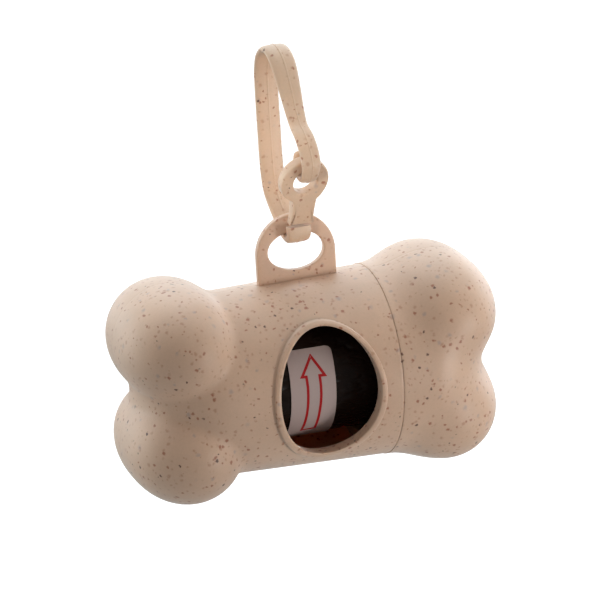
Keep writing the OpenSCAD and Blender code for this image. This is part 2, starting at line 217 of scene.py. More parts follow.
class ClipSizes(bpy.types.PropertyGroup):
    """The strap clip."""

    yaw: angle("Yaw", 5.0, "Angle of the hanging clip against the bone")
    strap: length("Strap", 1.8, "Thickness of the strap")
    ring_radius: length("Ring radius", 5.0, "Outer radius of the ring")
    ring_hole: length("Ring hole", 2.5, "Radius of the ring's hole")
    ring_thickness: length("Ring thickness", 2.3, "Thickness of the ring")
    lean: angle("Lean", 21.8, "Angle by which the ring and its stem lean forward")
    stem_half: length("Stem half width", 2.45, "Half the width of the stem")
    stem_shift: length("Stem shift", 0.4, "How far the stem stands to the right of the ring's middle")
    hook_radius: length("Hook radius", 2.75, "Mid-line radius of the hook")
    rounding: length("Rounding", 0.38, "Rounding of the ring's edges")
    bend_from: length("Bend from", 56.0, "Height where the back strap starts to flex")
    bend_to: length("Bend to", 41.5, "Height where the back strap stops flexing")


class PlasticLook(bpy.types.PropertyGroup):
    """The flecked bioplastic of the shells and the clip."""

    shell: colour("Shell", (0.650, 0.424, 0.292), "Colour of the two body shells and the cap")
    # The clip's colour is a little lighter than the shell's: painted light standing for the glow through
    # its thin strap.
    clip: colour("Clip", (0.665, 0.455, 0.310), "Colour of the clip")
    # The inner colour is darker and warmer than the shell's: painted warm shade of the insides.
    inner: colour("Inner", (0.600, 0.380, 0.230), "Colour of the neck, liner and end wall")
    dark: colour("Dark fleck", (0.085, 0.026, 0.018), "Colour of the darkest flecks")
    red: colour("Red fleck", (0.330, 0.085, 0.036), "Colour of the reddish brown flecks")
    blue: colour("Blue stain", (0.255, 0.205, 0.235), "Colour of the faint stains")
    roughness: share("Roughness", 0.48, "Roughness of the satin surface")
    glow: share("Glow", 0.25, "How much light passes under the surface")


class RollLook(bpy.types.PropertyGroup):
    """The film, paper, print and cardboard of the roll."""

    # The bags are black; the film's slight warm tint is painted light bounced from the warm inner walls.
    film: colour("Film", (0.012, 0.006, 0.004), "Colour of the bags")
    paper: colour("Paper", (0.47, 0.355, 0.325), "Colour of the label")
    ink: colour("Ink", (0.40, 0.006, 0.008), "Colour of the printed arrow")
    card: colour("Cardboard", (0.36, 0.22, 0.12), "Colour of the core")


class StageLook(bpy.types.PropertyGroup):
    """Camera, lamps and floor."""

    lens: number("Lens", 0.14854, "Focal length", "CAMERA")
    floor_drop: length("Floor drop", 150.0, "How far the floor lies under the barrel's axis")
    side_watts: number("Side lamps", 0.55, "Power of each side lamp", "POWER")
    top_watts: number("Top lamp", 0.74, "Power of the top lamp", "POWER")
    cap_watts: number("Cap lamp", 0.028, "Power of the lamp on the cap", "POWER")
    clip_watts: number("Clip lamp", 0.0018, "Power of the lamp on the clip", "POWER")
    front_level: number("Front level", 0.262, "Light from in front")
    back_level: number("Back level", 1.30, "Light from behind")


SETTINGS = {
    "bag_holder_bone": BoneSizes, "bag_holder_mouth": MouthSizes, "bag_holder_tab": TabSizes,
    "bag_holder_thread": ThreadSizes, "bag_holder_roll": RollSizes, "bag_holder_clip": ClipSizes,
    "bag_holder_plastic": PlasticLook, "bag_holder_roll_look": RollLook, "bag_holder_stage": StageLook,
}


# ---- meshes ----


def grid_faces(rows, columns, wrap_rows=False, wrap_columns=False):
    """The four-sided faces between rows of points, closed round where a direction wraps."""
    i, j = np.meshgrid(np.arange(rows if wrap_rows else rows - 1),
                       np.arange(columns if wrap_columns else columns - 1), indexing="ij")
    up, on = (i + 1) % rows, (j + 1) % columns
    corners = [i * columns + j, i * columns + on, up * columns + on, up * columns + j]
    return np.stack(corners, -1).reshape(-1, 4).tolist()


def closed_loop(grid):
    """Points and faces of a ring of sections, each of which is closed too."""
    rows, columns = grid.shape[:2]
    return grid.reshape(-1, 3), grid_faces(rows, columns, wrap_rows=True, wrap_columns=True)


def capped_sweep(grid):
    """Points and faces of a bar: closed sections one after the other, with a face on each end."""
    rows, columns = grid.shape[:2]
    faces = grid_faces(rows, columns, wrap_columns=True)
    faces += [list(range(columns)), list(range((rows - 1) * columns, rows * columns))]
    return grid.reshape(-1, 3), faces


def thick_skin(outer, inner, faces):
    """Closes two skins with the same faces by a wall along every free edge."""
    n = len(outer)
    edges = dict.fromkeys((a, b) for face in faces for a, b in zip(face, face[1:] + face[:1]))
    walls = [[b, a, a + n, b + n] for a, b in edges if (b, a) not in edges]
    back = [[v + n for v in reversed(face)] for face in faces]
    return np.concatenate([outer, inner]), faces + back + walls


def together(parts):
    """Several sets of points and faces as one."""
    points, faces, first = [], [], 0
    for more_points, more_faces in parts:
        points.append(more_points)
        faces += [[v + first for v in face] for face in more_faces]
        first += len(more_points)
    return np.concatenate(points), faces


def placed(name, data):
    """A new object in the scene, with that mesh, lamp or camera."""
    made = bpy.data.objects.new(name, data)
    bpy.context.scene.collection.objects.link(made)
    return made


def mesh_piece(name, part, material, body=None, stands_for=(), sharp_from=34, lining=None):
    """Makes an object from points and faces, and fastens it to its body of the frame.

    lining is a second material and a test of points that picks the faces it goes on.
    """
    points, faces = part
    mesh = bpy.data.meshes.new(name)
    mesh.from_pydata((points + AXIS_AT).tolist(), [], faces)
    work = bmesh.new()
    work.from_mesh(mesh)
    bmesh.ops.remove_doubles(work, verts=work.verts, dist=1e-7)
    bmesh.ops.dissolve_degenerate(work, edges=work.edges, dist=1e-8)
    bmesh.ops.recalc_face_normals(work, faces=work.faces)
    work.to_mesh(mesh)
    work.free()
    mesh.shade_smooth()
    mesh.set_sharp_from_angle(angle=math.radians(sharp_from))
    mesh.materials.append(material)
    if lining:
        mesh.materials.append(lining[0])
        middles = np.array([polygon.center for polygon in mesh.polygons]) - AXIS_AT
        mesh.polygons.foreach_set("material_index", lining[1](middles).astype(np.int32))
    piece = placed(name, mesh)
    if body:
        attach(piece, body)
    if stands_for:
        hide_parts(*stands_for)
    return piece


def turned_x(points, radians):
    """Points turned round the barrel's axis."""
    c, s = math.cos(radians), math.sin(radians)
    return points @ np.array([[1, 0, 0], [0, c, s], [0, -s, c]])


def eased(corners, radius, steps=4):
    """A closed outline with each corner rounded."""
    corners = np.array(corners, float)
    out = []
    for before, corner, after in zip(np.roll(corners, 1, 0), corners, np.roll(corners, -1, 0)):
        a, b = before - corner, after - corner
        la, lb = np.linalg.norm(a), np.linalg.norm(b)
        a, b = a / la, b / lb
        reach = min(radius, 0.45 * la, 0.45 * lb)
        for t in np.linspace(0, 1, steps + 1):
            out.append(corner + reach * ((1 - t) ** 2 * a + t ** 2 * b))
    return np.array(out)


def all_round(steps):
    """Angles all the way round, without the last, which is the first again."""
    return np.linspace(0, 2 * math.pi, steps, endpoint=False)


def beside(*parts):
    """Numbers and arrays put side by side, each as one coordinate of the points that result."""
    return np.stack(np.broadcast_arrays(*parts), -1)


def each_turn(row, turns):
    """The same row of points for every turn."""
    return np.repeat(np.array(row)[None], turns, 0)


def lathe(sections):
    """Sections given as (turns, points, [along X, radius]) set round the barrel's axis."""
    turn = all_round(len(sections))[:, None]
    x, r = sections[..., 0], sections[..., 1]
    return beside(x, r * np.cos(turn), r * np.sin(turn))


# ---- the bone's form: two lobes and a tapered, domed barrel, blended ----


FARTHEST = 48 * MM         # no ray is longer than this inside the bone
HALVINGS = 30              # of the stretch that holds the surface
BESIDE_PARTING = 0.006     # angle between the parting line and the next column of the mesh


def barrel_radius(bone, x):
    return bone.seam_radius + bone.slope * (x - bone.seam)


def blend(a, b, k):
    h = np.maximum(k - np.abs(a - b), 0) / k
    return np.minimum(a, b) - h * h * k / 4


def oval_gap(scaled, by_square):
    n, g = np.linalg.norm(scaled, axis=-1), np.linalg.norm(by_square, axis=-1)
    return n * (n - 1) / np.maximum(g, 1e-6)


def lobe_gap(bone, p, depth):
    """Distance to an oval that is fuller towards its front and back."""
    half = np.array([bone.lobe_length, depth, bone.lobe_height]) / 2
    x, y, z = np.moveaxis(np.abs(p / half), -1, 0)
    k = bone.lobe_power / 2
    full, steep = beside(x, y ** k, z), beside(x, k * y ** (2 * k - 1), z)
    return oval_gap(full, steep / half)


def bone_gap(bone, p, side):
    """Distance to the outer surface, below 0 inside. Side is -1 for the body and 1 for the cap."""
    body = side < 0
    at = -bone.body_lobe if body else bone.cap_lobe
    depth = bone.body_depth if body else bone.cap_depth
    low = -bone.lobe_pitch / 2 + (0 if body else bone.cap_tuck)
    lobes = [lobe_gap(bone, p - [at, 0, z], depth) for z in (bone.lobe_pitch / 2, low)]
    start = bone.body_dome if body else bone.cap_dome
    end = bone.body_end if body else bone.cap_end
    x, r = side * p[..., 0], np.hypot(p[..., 1], p[..., 2])
    edge = barrel_radius(bone, side * np.minimum(x, start)) + (0 if body else bone.cap_step)
    past = np.maximum(x - start, 0)
    span = end - start
    dome = oval_gap(beside(past / span, r / edge), beside(past / span ** 2, r / edge ** 2))
    barrel = np.where(x <= start, r - edge, dome)
    waist, k = (bone.waist_blend, bone.body_blend) if body else (bone.cap_blend, bone.cap_blend)
    return blend(blend(*lobes, waist), barrel, k)


def reach(bone, origin, way, side, inset):
    """How far along each ray the surface lies, by halving the stretch that holds it."""
    low = np.zeros(way.shape[:-1])
    high = np.full(way.shape[:-1], FARTHEST)
    for _ in range(HALVINGS):
        mid = (low + high) / 2
        inside = bone_gap(bone, origin + mid[..., None] * way, side) < -inset
        low, high = np.where(inside, mid, low), np.where(inside, high, mid)
    return (low + high) / 2


def half_shell(bone, side, mouth=None):
    """The front half of one end, with a wall of even thickness, and the mouth cut where one is given.

    Rays fan out from the lobes' middle round the end, and then leave the axis at right angles as
    far as the rim, whose last two rows round it off.
    """
    lobes = -bone.body_lobe if side < 0 else bone.cap_lobe
    rim = bone.seam if side < 0 else bone.seam + bone.cap_gap
    fan = np.linspace(0, math.pi / 2, bone.fan_rows + 1)[1:]
    span = abs(lobes - rim) - bone.rim_round
    straight = np.linspace(0, span, int(span / bone.row_step) + 1)[1:]
    x = np.concatenate([np.full(len(fan), lobes), lobes - side * straight,
                        rim + side * bone.rim_round * np.array([0.3, 0.0])])
    lean = np.concatenate([fan, np.full(len(straight) + 2, math.pi / 2)])
    around = np.sort(np.concatenate([np.linspace(0, math.pi, bone.columns + 1),
                                     [BESIDE_PARTING, math.pi - BESIDE_PARTING]]))
    lean, turn = np.meshgrid(lean, around, indexing="ij")
    way = beside(side * np.cos(lean), -np.sin(lean) * np.sin(turn), np.sin(lean) * np.cos(turn))
    origin = np.zeros_like(way)
    origin[..., 0] = x[:, None]
    outer_r, inner_r = (reach(bone, origin, way, side, inset) for inset in (0, bone.wall))
    outer_r[-1] -= bone.rim_round
    outer_r[-2] -= 0.3 * bone.rim_round
    outer_r[:, [0, -1]] -= bone.groove
    outer, inner = (origin + r[..., None] * way for r in (outer_r, inner_r))
    rows, columns = outer.shape[:2]
    faces = grid_faces(rows, columns)
    if mouth:
        faces = cut_mouth(bone, mouth, outer, inner, faces)
    middle, ahead = np.array([lobes, 0.0, 0.0]), np.array([float(side), 0.0, 0.0])
    tips = [middle + reach(bone, middle, ahead, side, inset) * ahead for inset in (0, bone.wall)]
    outer, inner = (np.concatenate([skin.reshape(-1, 3), [tip]]) for skin, tip in zip((outer, inner), tips))
    faces += [[j + 1, j, rows * columns] for j in range(columns - 1)]
    return thick_skin(outer, inner, faces)


def cut_mouth(bone, mouth, outer, inner, faces):
    """Leaves out the faces inside the mouth and draws the edge that is left to the mouth's oval."""
    half = np.array([mouth.width + mouth.lip, mouth.height + mouth.lip]) / 2
    flat_outer, flat_inner = outer.reshape(-1, 3), inner.reshape(-1, 3)
    across = flat_outer[:, [0, 2]] + [mouth.offset, mouth.drop]
    cells = np.array(faces)
    middles = flat_outer[cells].mean(1)
    in_front = (middles[:, 1] < -0.4 * bone.seam_radius) & (middles[:, 0] > -0.5 * bone.body_lobe)
    cut = (np.linalg.norm(across[cells].mean(1) / half, axis=1) < 1) & in_front
    edge = np.intersect1d(cells[cut], cells[~cut])
    drawn = across[edge] / np.linalg.norm(across[edge] / half, axis=1)[:, None]
    for skin, inset in ((flat_outer, 0), (flat_inner, bone.wall)):
        x, z = drawn.T - [[mouth.offset], [mouth.drop]]
        skin[edge] = beside(x, -np.sqrt((barrel_radius(bone, x) - inset) ** 2 - z ** 2), z)
    return cells[~cut].tolist()


def mouth_lip(bone, mouth):
    """The rolled lip round the mouth, with its collar going in through the wall."""
    turn, section = all_round(mouth.stations), lip_section(mouth)
    grid = np.zeros((len(turn), len(section), 3))
    for i, t in enumerate(turn):
        nicked = float(mouth.nick_from < t < mouth.nick_to)
        height = np.minimum(section[:, 1], mouth.proud - nicked * mouth.nick)
        across = section[:, 0] * (1 - mouth.lip_sag * math.sin(t))
        x = (mouth.width / 2 + across) * math.cos(t) - mouth.offset
        z = (mouth.height / 2 + across) * math.sin(t) - mouth.drop
        radius = barrel_radius(bone, x) + height
        grid[i] = beside(x, -np.sqrt(radius ** 2 - z ** 2), z)
    return closed_loop(grid)


def lip_section(mouth):
    """Points of the lip's section as [distance from the mouth's edge, height over the barrel]."""
    lip, proud, deep = mouth.lip, mouth.proud, mouth.deep
    soft, crown, small = 0.26 * MM, 0.06 * MM, 0.15 * MM
    turn = np.linspace(0, math.pi / 2, 6)
    high = proud - soft - crown
    inner = beside(soft - soft * np.cos(turn), high + soft * np.sin(turn))
    outer = beside(lip - soft + soft * np.sin(turn), high + soft * np.cos(turn))
    crest = [[0.36 * lip, proud], [0.6 * lip, proud]]
    inside = [[2 * small, -deep], [0.5 * small, -deep + 0.5 * small], [0, -deep + 2 * small],
              [0, -deep / 2]]
    foot = [[lip + 0.1 * small, small], [lip + 0.6 * small, 0.2 * small], [lip + 1.2 * small, -small],
            [lip, -5 * small], [lip, -deep + small], [lip - small, -deep]]
    return np.concatenate([inside, inner, crest, outer, foot])


# ---- plates with an eye: the tab and the clip's ring ----


def outward(loop):
    """Normals of a closed outline that runs anticlockwise."""
    along = np.roll(loop, -1, 0) - np.roll(loop, 1, 0)
    along /= np.linalg.norm(along, axis=1)[:, None]
    return beside(along[:, 1], -along[:, 0])


def eyed_plate(outline, eye, half_thickness, rounding, half_only=False, groove=0.0):
    """A plate with rounded edges from its outline and its eye, point for point.

    A point of the result is [across, through, up]; half_thickness gives the half thickness at
    the points' heights. A half plate is closed along its mid-plane, with a groove round it.
    """
    out_n, eye_n = outward(outline), -outward(eye)

    def edge(loop, normals):
        """The loop at each step of its rounded edge, with its height over the mid-plane."""
        return [(loop - normals * (rounding * (1 - math.cos(a))), -rounding + rounding * math.sin(a))
                for a in np.linspace(0, math.pi / 2, 5)]

    eye_edge, out_edge = eye - eye_n * rounding, outline - out_n * rounding
    face = [(eye_edge + f * (out_edge - eye_edge), 0.0) for f in (0.25, 0.5, 0.75)]
    levels = edge(eye, eye_n) + face + edge(outline, out_n)[::-1]
    front = [beside(p[:, 0], -(half_thickness(p[:, 1]) + h), p[:, 1]) for p, h in levels]
    if half_only:
        walls = [(outline, 1.5 * groove), (outline - out_n * groove, 0.0), (eye - eye_n * groove, 0.0),
                 (eye, 1.5 * groove)]
        rings = front + [beside(p[:, 0], -y, p[:, 1]) for p, y in walls]
    else:
        rings = front + [ring * [1, -1, 1] for ring in front[::-1]]
    return closed_loop(np.stack(rings, 1))


def half_tab(bone, tab):
    """The front half of the hanging tab, from inside the barrel's wall up.

    Its outline, an arch over straight sides and a flat foot, is drawn round the eye's middle.
    """
    base = bone.seam_radius - bone.wall + 0.2 * MM
    half = tab.width / 2
    corner = math.atan2(tab.eye_level - base, half)
    turn = np.concatenate([np.linspace(-corner, math.pi + corner, 120),
                           np.linspace(math.pi + corner, 2 * math.pi - corner, 30)[1:-1]])
    up = tab.eye_level - tab.side_height
    arch = np.sqrt(half ** 2 - (up * np.cos(turn)) ** 2) - up * np.sin(turn)
    side = np.minimum(half / np.maximum(np.abs(np.cos(turn)), 1e-6),
                      (tab.eye_level - base) / np.maximum(-np.sin(turn), 1e-6))
    edge = np.where(arch * np.sin(turn) >= -up, arch, side)
    eye = 1 / np.hypot(2 * np.cos(turn) / tab.eye_width, 2 * np.sin(turn) / tab.eye_height)
    ray = beside(np.cos(turn), np.sin(turn))
    centre = np.array([0, tab.eye_level])
    return eyed_plate(centre + edge[:, None] * ray, centre + eye[:, None] * ray,
                      lambda z: tab.thickness / 2, tab.rounding, half_only=True, groove=0.6 * bone.groove)


# ---- the clip, drawn as a side view [towards the back, up] ----


CREST = (5.0, 64.95)       # top of the strap's bend, in mm
RING_AT = (-6.3, 40.5)     # middle of the ring, in mm
STEM_FOOT = 10.1           # how far the stem's end lies under the ring's middle, in mm

# The hook's rounded tip: distance past the last station in mm, and size of the section there.
HOOK_TIP = ((0.0, 1.0), (0.16, 0.97), (0.3, 0.9), (0.43, 0.79), (0.54, 0.64), (0.62, 0.46), (0.66, 0.25))


def clip_stations(clip):
    """The strap's stations: towards the back, up, half width, half thickness, squareness.

    They are written in mm, with the half thickness as a share of half the strap's thickness.
    """
    out = np.array([-math.cos(clip.lean), -math.sin(clip.lean)])
    up = np.array([-math.sin(clip.lean), math.cos(clip.lean)])
    hook_at = np.array(RING_AT) + 3.5 * up

    def hook(degrees, half_width, thin):
        """A station on the hook's arc, at an angle up from straight out."""
        a = math.radians(degrees)
        p = hook_at + clip.hook_radius / MM * (math.cos(a) * out + math.sin(a) * up)
        return (*p, half_width, thin, 0)

    start = hook(20, 1.95, 1)
    end = hook(-180, 1.2, 0.88)
    rows = [
        (-2.42, 30.4, 2.40, 1.16, 1), (-2.42, 29.4, 2.40, 1.16, 1), (-2.12, 28.35, 2.40, 1.10, 0.8),
        (-1.1, 27.65, 2.40, 1.04, 0.4), (0.2, 27.75, 2.40, 1, 0), (1.9, 28.6, 2.40, 1, 0),
        (4.2, 30.7, 2.40, 1, 0), (6.6, 33.1, 2.45, 1, 0), (8.4, 35.5, 2.5, 1, 0), (9.3, 38.6, 2.5, 1, 0),
        (9.6, 42.4, 2.5, 1, 0), (9.65, 45.2, 2.5, 1, 0),
        (HINGE_AT[1] / math.cos(clip.yaw) / MM, HINGE_AT[2] / MM, 2.5, 1, 0),
        (9.7, 52.5, 2.5, 1, 0), (9.6, 57.2, 2.5, 1, 0), (9.2, 60.4, 2.55, 1, 0), (7.8, 63.3, 2.6, 1, 0),
        (*CREST, 2.65, 1, 0), (2.2, 64.2, 2.65, 1, 0), (-0.1, 61.9, 2.6, 1, 0), (-2.2, 57.9, 2.32, 1, 0),
        (-3.9, 54.1, 2.02, 1, 0), (-5.6, 51.2, 1.85, 1.04, 0), (-7.9, 49.4, 1.95, 1.06, 0),
        (-9.7, 47.1, 2.0, 1, 0),
        (*(np.array(start[:2]) + 0.9 * up), *start[2:]),
        hook(0, 1.8, 1), hook(-30, 1.65, 0.98), hook(-60, 1.5, 0.95), hook(-90, 1.4, 0.92),
        hook(-120, 1.35, 0.9), hook(-150, 1.3, 0.9), hook(-180, 1.25, 0.9),
        (*(np.array(end[:2]) + 0.7 * up), *end[2:]),
    ]
    rows = np.array(rows, float)
    rows[:, 3] *= clip.strap / 2 / MM
    rows[:, :4] *= MM
    return rows


def through(stations, cuts=12):
    """A smooth curve through the stations."""
    n = len(stations)
    out = []
    for i in range(n - 1):
        a, b, c, d = (stations[k] for k in (max(i - 1, 0), i, i + 1, min(i + 2, n - 1)))
        for t in np.arange(cuts) / cuts:
            out.append(0.5 * (2 * b + (c - a) * t + (2 * a - 5 * b + 4 * c - d) * t * t
                              + (3 * b - a - 3 * c + d) * t ** 3))
    return np.array(out + [stations[-1]])


def strap_outline():
    """Shares of the half width and half thickness round the strap: crowned, with a fine mould line."""
    face = [(0.0, 1.0), (0.045, 0.985), (0.085, 0.87), (0.25, 0.86), (0.45, 0.84), (0.62, 0.785),
            (0.75, 0.71), (0.85, 0.60), (0.925, 0.46), (0.975, 0.29), (1.0, 0.12)]
    upper = [(-u, v) for u, v in face[:0:-1]] + face
    return np.array(upper + [(u, -v) for u, v in upper[::-1]])


def box_outline(like):
    """The same number of points on a nearly square section."""
    turn, power = np.arctan2(like[:, 1], like[:, 0]), 7.0
    size = (np.abs(np.cos(turn)) ** power + np.abs(np.sin(turn)) ** power) ** (-1 / power)
    return beside(size * np.cos(turn), size * np.sin(turn))


def yawed(clip, points):
    """Points of the clip turned into the hanging clip's direction."""
    c, s = math.cos(clip.yaw), math.sin(clip.yaw)
    return points @ np.array([[c, s, 0], [-s, c, 0], [0, 0, 1]])


def strap_rings(clip):
    """The strap's sections from the front leg round the bottom, up the back and over to the hook."""
    line = through(clip_stations(clip))
    along = np.gradient(line[:, :2], axis=0)
    along /= np.linalg.norm(along, axis=1)[:, None]
    across = beside(-along[:, 1], along[:, 0])
    slim = strap_outline()
    boxy = box_outline(slim)
    stations = [(k, 0.0, 1.0) for k in range(len(line) - 1)]
    stations += [(len(line) - 1, ahead * MM, size) for ahead, size in HOOK_TIP]
    rings = []
    for k, ahead, size in stations:
        s, z, half_width, half_thick, square = line[k]
        q = size * ((1 - square) * slim + square * boxy)
        at = np.array([s, z]) + ahead * along[k]
        flat = at + (q[:, 1:2] * half_thick) * across[k]
        rings.append(beside(q[:, 0] * half_width, *flat.T))
    return np.array(rings), line


def ring_outline(clip):
    """Outline of the ring and its stem, and the hole, about the ring's middle, point for point."""
    r, w, f = clip.ring_radius / MM, clip.stem_half / MM, 0.9       # ring, stem and their fillet
    drop = math.sqrt((r + f) ** 2 - (w + f) ** 2)
    meet = math.atan2(-drop, w + f)
    arc = np.linspace(meet, math.pi - meet, 90)
    ring = beside(r * np.cos(arc), r * np.sin(arc))
    bend = np.linspace(math.pi + meet, math.pi, 8)[1:]
    fillet = beside(w + f + f * np.cos(bend), -drop + f * np.sin(bend))
    v = np.linspace(-drop, -STEM_FOOT, 22)[1:]
    depth = (v + drop) / (drop - STEM_FOOT)       # 0 at the ring and 1 at the foot, which flares
    u = w - 0.10 * np.sin(math.pi * np.minimum(depth * 1.05, 1)) + 0.08 * depth ** 3
    right = np.concatenate([fillet, beside(u, v)])
    bottom = beside(np.linspace(u[-1], -u[-1], 9)[1:-1], v[-1])
    outline = np.concatenate([ring, right * [-1, 1], bottom[::-1], right[::-1]])
    outline[:, 0] += clip.stem_shift / MM * np.clip((-outline[:, 1] - 2.75) / 2, 0, 1)
    turn = np.arctan2(outline[:, 1], outline[:, 0])
    hole = beside(np.cos(turn), np.sin(turn)) * clip.ring_hole / MM
    return outline * MM, hole * MM


def ring_and_stem(clip):
    """The ring with its stem, which gets thinner towards its foot, leaning forward as on the clip."""
    outline, hole = ring_outline(clip)
    thick = clip.ring_thickness / 2

    def half(height):
        """Half the thickness, which starts to shrink 5.5 mm under the ring's middle."""
        return thick - 0.30 * MM * np.clip((-height / MM - 5.5) / (STEM_FOOT - 5.5), 0, 1)

    points, faces = eyed_plate(outline, hole, half, clip.rounding)
    c, s = math.cos(clip.lean), math.sin(clip.lean)
    x, w, v = points.T
    at = np.array(RING_AT) * MM
    return beside(x, at[0] + w * c - v * s, at[1] + w * s + v * c), faces


# ---- materials ----


def fill(tree, node, inputs):
    """Gives a node's inputs what they need: a value or another node's socket."""
    for key, value in inputs.items():
        if isinstance(value, bpy.types.NodeSocket):
            tree.links.new(value, node.inputs[key])
        else:
            node.inputs[key].default_value = value


def add(tree, kind, inputs=None, **settings):
    made = tree.nodes.new(kind)
    for key, value in settings.items():
        setattr(made, key, value)
    fill(tree, made, inputs or {})
    return made


def calc(tree, operation, a, b=0.0, clamp=False):
    return add(tree, "ShaderNodeMath", {0: a, 1: b}, operation=operation, use_clamp=clamp).outputs[0]


def calc_vector(tree, operation, a, b):
    return add(tree, "ShaderNodeVectorMath", {0: a, 1: b}, operation=operation).outputs[0]


def ranged(tree, value, low, high, start, end, smooth=False):
    """The value with low to high drawn to start to end, and held between those two."""
    inputs = {"Value": value, "From Min": low, "From Max": high, "To Min": start, "To Max": end}
    kind = "SMOOTHSTEP" if smooth else "LINEAR"
    return add(tree, "ShaderNodeMapRange", inputs, interpolation_type=kind).outputs[0]


def mixed(tree, factor, a, b, blend_type="MIX"):
    made = add(tree, "ShaderNodeMix", {0: factor, 6: a, 7: b}, data_type="RGBA", blend_type=blend_type)
    return made.outputs[2]


def grey(tree, tone):
    return add(tree, "ShaderNodeCombineColor", {0: tone, 1: tone, 2: tone}).outputs[0]


def toned(tree, base, tone):
    """A colour made lighter or darker by a number."""
    return mixed(tree, 1.0, base, grey(tree, tone), "MULTIPLY")


def rgba(value):
    return (*value, 1.0)


def noise_at(tree, vector, size, detail=2.0, roughness=0.5, output="Fac"):
    """Noise whose grains are about size metres across."""
    return add(tree, "ShaderNodeTexNoise", {"Vector": vector, "Scale": 1 / size, "Detail": detail,
                                            "Roughness": roughness}).outputs[output]


def spots(tree, vector, cell, presence, smallest, largest, soft):
    """Scattered spots: one in some cells, with a radius between two shares of the cell."""
    cells = add(tree, "ShaderNodeTexVoronoi", {"Vector": vector, "Scale": 1 / cell},
                voronoi_dimensions="3D", feature="F1")
    parts = add(tree, "ShaderNodeSeparateColor", {"Color": cells.outputs["Color"]})
    present = calc(tree, "LESS_THAN", parts.outputs["Red"], presence)
    radius = ranged(tree, parts.outputs["Green"], 0.0, 1.0, smallest, largest)
    inner = calc(tree, "MULTIPLY", radius, 1 - soft)
    mask = ranged(tree, cells.outputs["Distance"], radius, inner, 0.0, 1.0, smooth=True)
    return calc(tree, "MULTIPLY", mask, present, clamp=True)


# Kinds of fleck, the faintest first: are they in the shifted pattern, size of a cell in mm, share of
# the cells that hold one, smallest and largest radius as shares of the cell, softness of the edge,
# strength, and the colour's socket.
FLECKS = (
    (True, 2.8, 0.60, 0.14, 0.30, 0.9, 0.40, "Stain"),
    (False, 1.25, 0.80, 0.22, 0.46, 0.8, 0.38, "Red"),
    (False, 1.70, 0.78, 0.14, 0.31, 0.6, 0.76, "Red"),
    (True, 2.20, 0.55, 0.10, 0.20, 0.5, 0.88, "Dark"),
)


def fleck_group():
    """Bioplastic with plant fibre in it: scattered flecks, faint stains and cloudy colour."""
    tree = bpy.data.node_groups.new("flecked bioplastic", "ShaderNodeTree")
    for name, kind in (("Vector", "NodeSocketVector"), ("Base", "NodeSocketColor"),
                       ("Dark", "NodeSocketColor"), ("Red", "NodeSocketColor"),
                       ("Stain", "NodeSocketColor"), ("Amount", "NodeSocketFloat"),
                       ("Roughness", "NodeSocketFloat")):
        tree.interface.new_socket(name=name, in_out="INPUT", socket_type=kind)
    for name, kind in (("Color", "NodeSocketColor"), ("Roughness", "NodeSocketFloat"),
                       ("Height", "NodeSocketFloat")):
        tree.interface.new_socket(name=name, in_out="OUTPUT", socket_type=kind)
    given = tree.nodes.new("NodeGroupInput").outputs
    vector = given["Vector"]
    wobble = noise_at(tree, vector, 0.8 * MM, output="Color")
    wobble = calc_vector(tree, "SUBTRACT", wobble, (0.5, 0.5, 0.5))
    bent = calc_vector(tree, "ADD", vector, calc_vector(tree, "MULTIPLY", wobble, [0.8 * MM] * 3))
    shifted = calc_vector(tree, "ADD", bent, (0.0313, 0.0171, 0.0237))

    cloud = ranged(tree, noise_at(tree, vector, 9 * MM, detail=3.0), 0.3, 0.7, 0.94, 1.05)
    grain = noise_at(tree, vector, 0.5 * MM, detail=3.0, roughness=0.6)
    tone = calc(tree, "MULTIPLY", cloud, ranged(tree, grain, 0.25, 0.75, 0.965, 1.03))
    coloured = toned(tree, given["Base"], tone)

    patchy = ranged(tree, noise_at(tree, shifted, 7 * MM, detail=1.0), 0.35, 0.65, 0.45, 1.5)
    crowd = calc(tree, "MULTIPLY", patchy, given["Amount"])
    for in_shifted, cell, presence, smallest, largest, soft, strength, tint in FLECKS:
        held = calc(tree, "MULTIPLY", crowd, presence)
        mask = spots(tree, shifted if in_shifted else bent, cell * MM, held, smallest, largest, soft)
        coloured = mixed(tree, calc(tree, "MULTIPLY", mask, strength), coloured, given[tint])

    uneven = calc(tree, "MULTIPLY", calc(tree, "SUBTRACT", grain, 0.5), 0.16)
    height = calc(tree, "SUBTRACT", calc(tree, "MULTIPLY", grain, 0.5), calc(tree, "MULTIPLY", mask, 0.35))
    add(tree, "NodeGroupOutput", {"Color": coloured, "Height": height,
                                  "Roughness": calc(tree, "ADD", given["Roughness"], uneven)})
    return tree


def empty_material(name):
    material = bpy.data.materials.new(name)
    material.use_nodes = True
    tree = material.node_tree
    tree.nodes.clear()
    shader = tree.nodes.new("ShaderNodeBsdfPrincipled")
    add(tree, "ShaderNodeOutputMaterial", {0: shader.outputs[0]})
    coords = tree.nodes.new("ShaderNodeTexCoord").outputs["Object"]
    return material, tree, shader, coords


def bumped(tree, shader, height, distance, strength=1.0):
    bump = add(tree, "ShaderNodeBump", {"Height": height, "Distance": distance, "Strength": strength})
    tree.links.new(bump.outputs[0], shader.inputs["Normal"])


PALE_DEPTH = (1.0, 0.78, 0.60)      # how far red, green and blue light pass under the shells' surface
LINING_DEPTH = (0.75, 0.62, 0.30)


